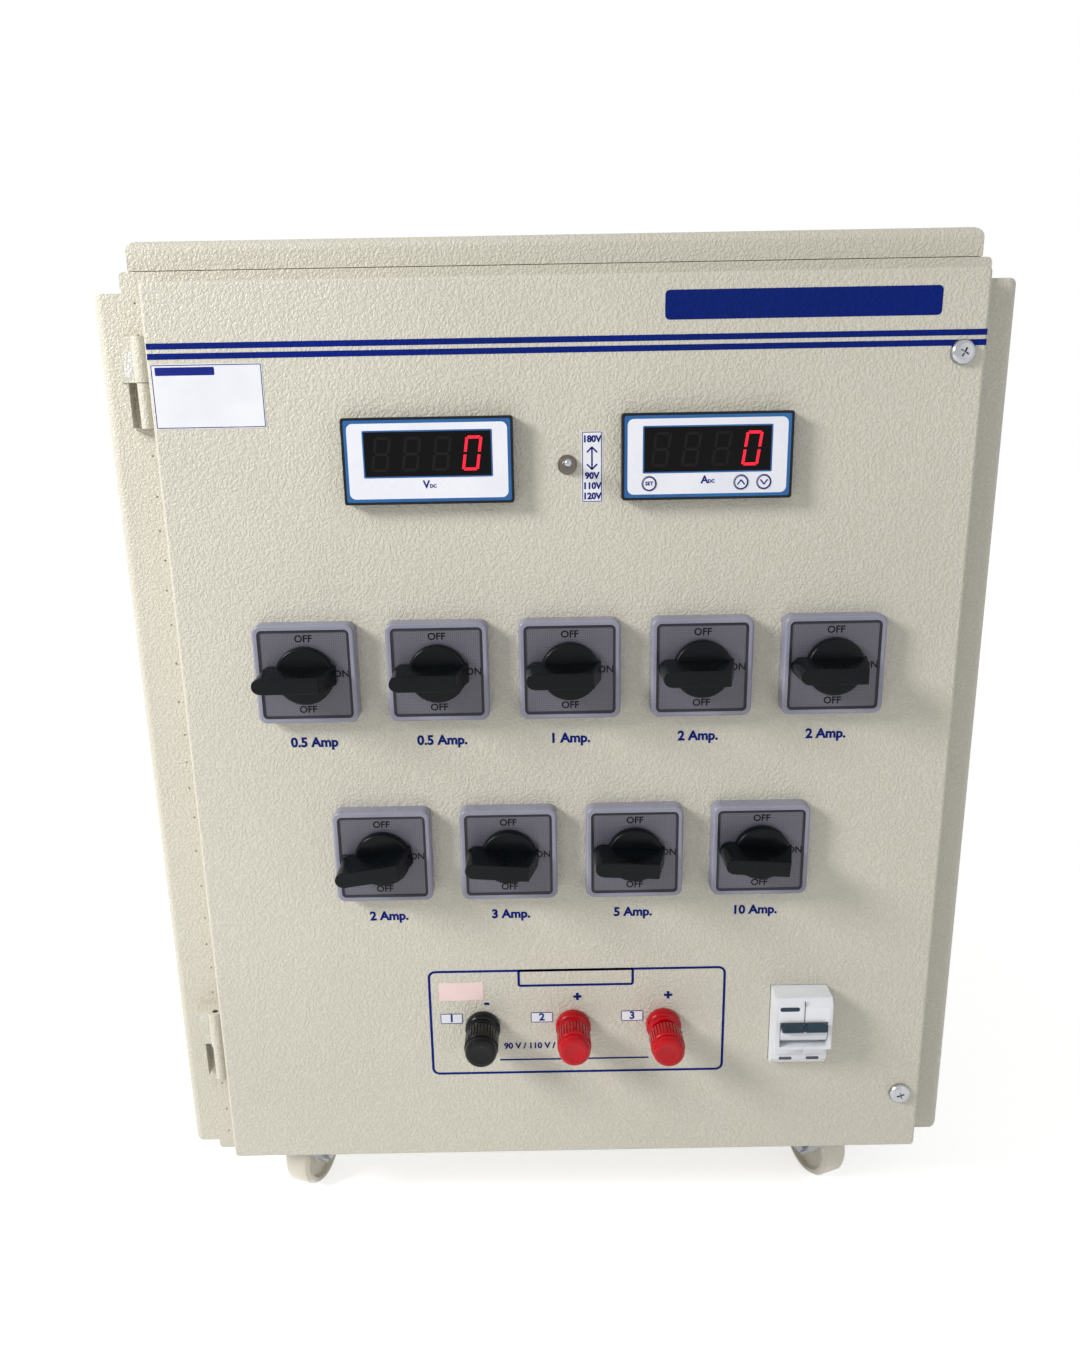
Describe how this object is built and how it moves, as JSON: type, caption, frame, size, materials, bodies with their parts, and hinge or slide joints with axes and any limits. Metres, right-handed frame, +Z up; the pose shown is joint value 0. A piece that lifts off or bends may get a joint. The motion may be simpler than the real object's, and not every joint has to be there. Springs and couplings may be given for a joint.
{
  "type": "generator load bank",
  "caption": "Sheet-metal cabinet on casters with a hinged control door of panel meters, load switches, binding posts and a breaker, holding fan-cooled resistors.",
  "frame": {"origin": "on the floor, under the centre of the overall box with the door shut", "axes": "+Z up, -Y out of the door's front, +X to the right as seen from the front"},
  "size_m": [0.5304, 0.5067, 0.665],
  "materials": {
    "black_plastic": "matte",
    "blue_plastic": "satin",
    "brass": "satin",
    "ceramic": "glazed enamel coating",
    "foam": "matte",
    "grey_plate": "satin",
    "hinge_steel": "plain steel",
    "nylon": "satin",
    "powder_coat": "textured powder coat",
    "red_plastic": "gloss",
    "white_plastic": "satin",
    "window": "gloss",
    "zinc": "bright zinc plate"
  },
  "bodies": {
    "cabinet": {"cabinet_body": "powder_coat", "rear_panel": "powder_coat", "left_side_cover": "powder_coat", "right_side_cover": "powder_coat", "top_cover": "powder_coat", "cover_screws": "zinc", "hinge_body_leaves": "powder_coat", "hinge_pins": "hinge_steel", "resistor_rack": "zinc", "resistor_rods": "zinc", "resistor_tubes": "ceramic", "fan_frames": "black_plastic", "fan_guards": "zinc", "caster_plates": "zinc", "caster_bolts": "zinc"},
    "door": {"door_panel": "powder_coat", "door_gasket": "foam", "hinge_door_leaves": "hinge_steel", "voltmeter_case": "black_plastic", "voltmeter_window": "window", "ammeter_case": "black_plastic", "ammeter_window": "window", "toggle_body": "black_plastic", "switch_plates": "grey_plate", "switch_bodies": "black_plastic", "post_bases": "red_plastic", "post_studs": "brass", "breaker_body": "white_plastic"},
    "knob_1": {"switch_knob_1": "black_plastic"},
    "knob_2": {"switch_knob_2": "black_plastic"},
    "knob_3": {"switch_knob_3": "black_plastic"},
    "knob_4": {"switch_knob_4": "black_plastic"},
    "knob_5": {"switch_knob_5": "black_plastic"},
    "knob_6": {"switch_knob_6": "black_plastic"},
    "knob_7": {"switch_knob_7": "black_plastic"},
    "knob_8": {"switch_knob_8": "black_plastic"},
    "knob_9": {"switch_knob_9": "black_plastic"},
    "toggle": {"toggle_lever": "hinge_steel"},
    "breaker_lever": {"breaker_handle": "blue_plastic"},
    "post_nut_1": {"post_cap_1": "black_plastic"},
    "post_nut_2": {"post_cap_2": "red_plastic"},
    "post_nut_3": {"post_cap_3": "red_plastic"},
    "lower_lock": {"lower_door_screw": "zinc"},
    "upper_lock": {"upper_door_screw": "zinc"},
    "set_key": {"ammeter_set_key": "blue_plastic"},
    "up_key": {"ammeter_up_key": "blue_plastic"},
    "down_key": {"ammeter_down_key": "blue_plastic"},
    "left_fan": {"left_fan_rotor": "black_plastic"},
    "right_fan": {"right_fan_rotor": "black_plastic"},
    "front_left_swivel": {"front_left_fork": "zinc"},
    "front_left_roller": {"front_left_wheel": "nylon"},
    "front_right_swivel": {"front_right_fork": "zinc"},
    "front_right_roller": {"front_right_wheel": "nylon"},
    "rear_left_swivel": {"rear_left_fork": "zinc"},
    "rear_left_roller": {"rear_left_wheel": "nylon"},
    "rear_right_swivel": {"rear_right_fork": "zinc"},
    "rear_right_roller": {"rear_right_wheel": "nylon"}
  },
  "joints": [
    {"name": "door_hinge", "type": "hinge", "parent": "cabinet", "child": "door", "pos_m": [-0.234, -0.204, 0.3585], "axis": [0, 0, -1], "range_deg": [0, 110]},
    {"name": "switch_1_turn", "type": "hinge", "parent": "door", "child": "knob_1", "pos_m": [-0.151, -0.225, 0.4206], "axis": [0, 1, 0], "continuous": true},
    {"name": "switch_2_turn", "type": "hinge", "parent": "door", "child": "knob_2", "pos_m": [-0.073, -0.225, 0.4206], "axis": [0, 1, 0], "continuous": true},
    {"name": "switch_3_turn", "type": "hinge", "parent": "door", "child": "knob_3", "pos_m": [0.005, -0.225, 0.4206], "axis": [0, 1, 0], "continuous": true},
    {"name": "switch_4_turn", "type": "hinge", "parent": "door", "child": "knob_4", "pos_m": [0.083, -0.225, 0.4206], "axis": [0, 1, 0], "continuous": true},
    {"name": "switch_5_turn", "type": "hinge", "parent": "door", "child": "knob_5", "pos_m": [0.161, -0.225, 0.4206], "axis": [0, 1, 0], "continuous": true},
    {"name": "switch_6_turn", "type": "hinge", "parent": "door", "child": "knob_6", "pos_m": [-0.112, -0.225, 0.3026], "axis": [0, 1, 0], "continuous": true},
    {"name": "switch_7_turn", "type": "hinge", "parent": "door", "child": "knob_7", "pos_m": [-0.034, -0.225, 0.3026], "axis": [0, 1, 0], "continuous": true},
    {"name": "switch_8_turn", "type": "hinge", "parent": "door", "child": "knob_8", "pos_m": [0.044, -0.225, 0.3026], "axis": [0, 1, 0], "continuous": true},
    {"name": "switch_9_turn", "type": "hinge", "parent": "door", "child": "knob_9", "pos_m": [0.122, -0.225, 0.3026], "axis": [0, 1, 0], "continuous": true},
    {"name": "toggle_throw", "type": "hinge", "parent": "door", "child": "toggle", "pos_m": [0.005, -0.218, 0.539], "axis": [1, 0, 0], "range_deg": [0, 24]},
    {"name": "breaker_throw", "type": "hinge", "parent": "door", "child": "breaker_lever", "pos_m": [0.153, -0.2265, 0.177], "axis": [1, 0, 0], "range_deg": [0, 70]},
    {"name": "post_1_unscrew", "type": "slide", "parent": "door", "child": "post_nut_1", "axis": [0, -1, 0], "range_m": [0, 0.006]},
    {"name": "post_2_unscrew", "type": "slide", "parent": "door", "child": "post_nut_2", "axis": [0, -1, 0], "range_m": [0, 0.006]},
    {"name": "post_3_unscrew", "type": "slide", "parent": "door", "child": "post_nut_3", "axis": [0, -1, 0], "range_m": [0, 0.0035]},
    {"name": "lower_screw_turn", "type": "hinge", "parent": "door", "child": "lower_lock", "pos_m": [0.2245, -0.215, 0.119], "axis": [0, 1, 0], "continuous": true},
    {"name": "upper_screw_turn", "type": "hinge", "parent": "door", "child": "upper_lock", "pos_m": [0.2245, -0.215, 0.5965], "axis": [0, 1, 0], "continuous": true},
    {"name": "set_key_press", "type": "slide", "parent": "door", "child": "set_key", "axis": [0, 1, 0], "range_m": [0, 0.0005], "stiffness_N_per_m": 200, "springref_m": -0.0005},
    {"name": "up_key_press", "type": "slide", "parent": "door", "child": "up_key", "axis": [0, 1, 0], "range_m": [0, 0.0005], "stiffness_N_per_m": 200, "springref_m": -0.0005},
    {"name": "down_key_press", "type": "slide", "parent": "door", "child": "down_key", "axis": [0, 1, 0], "range_m": [0, 0.0005], "stiffness_N_per_m": 200, "springref_m": -0.0005},
    {"name": "left_fan_spin", "type": "hinge", "parent": "cabinet", "child": "left_fan", "pos_m": [-0.1, 0.225, 0.498], "axis": [0, 1, 0], "continuous": true},
    {"name": "right_fan_spin", "type": "hinge", "parent": "cabinet", "child": "right_fan", "pos_m": [0.1, 0.225, 0.498], "axis": [0, 1, 0], "continuous": true},
    {"name": "front_left_swivel_turn", "type": "hinge", "parent": "cabinet", "child": "front_left_swivel", "pos_m": [-0.199, -0.162, 0.058], "axis": [0, 0, 1], "continuous": true},
    {"name": "front_left_wheel_roll", "type": "hinge", "parent": "front_left_swivel", "child": "front_left_roller", "pos_m": [-0.19282, -0.14298, 0.025], "axis": [-0.9511, 0.309, 0], "continuous": true},
    {"name": "front_right_swivel_turn", "type": "hinge", "parent": "cabinet", "child": "front_right_swivel", "pos_m": [0.199, -0.162, 0.058], "axis": [0, 0, 1], "continuous": true},
    {"name": "front_right_wheel_roll", "type": "hinge", "parent": "front_right_swivel", "child": "front_right_roller", "pos_m": [0.19151, -0.14346, 0.025], "axis": [-0.9272, -0.3746, 0], "continuous": true},
    {"name": "rear_left_swivel_turn", "type": "hinge", "parent": "cabinet", "child": "rear_left_swivel", "pos_m": [-0.199, 0.212, 0.058], "axis": [0, 0, 1], "continuous": true},
    {"name": "rear_left_wheel_roll", "type": "hinge", "parent": "rear_left_swivel", "child": "rear_left_roller", "pos_m": [-0.20839, 0.22966, 0.025], "axis": [-0.8829, -0.4695, 0], "continuous": true},
    {"name": "rear_right_swivel_turn", "type": "hinge", "parent": "cabinet", "child": "rear_right_swivel", "pos_m": [0.199, 0.212, 0.058], "axis": [0, 0, 1], "continuous": true},
    {"name": "rear_right_wheel_roll", "type": "hinge", "parent": "rear_right_swivel", "child": "rear_right_roller", "pos_m": [0.20777, 0.22998, 0.025], "axis": [-0.8988, 0.4384, 0], "continuous": true}
  ]
}
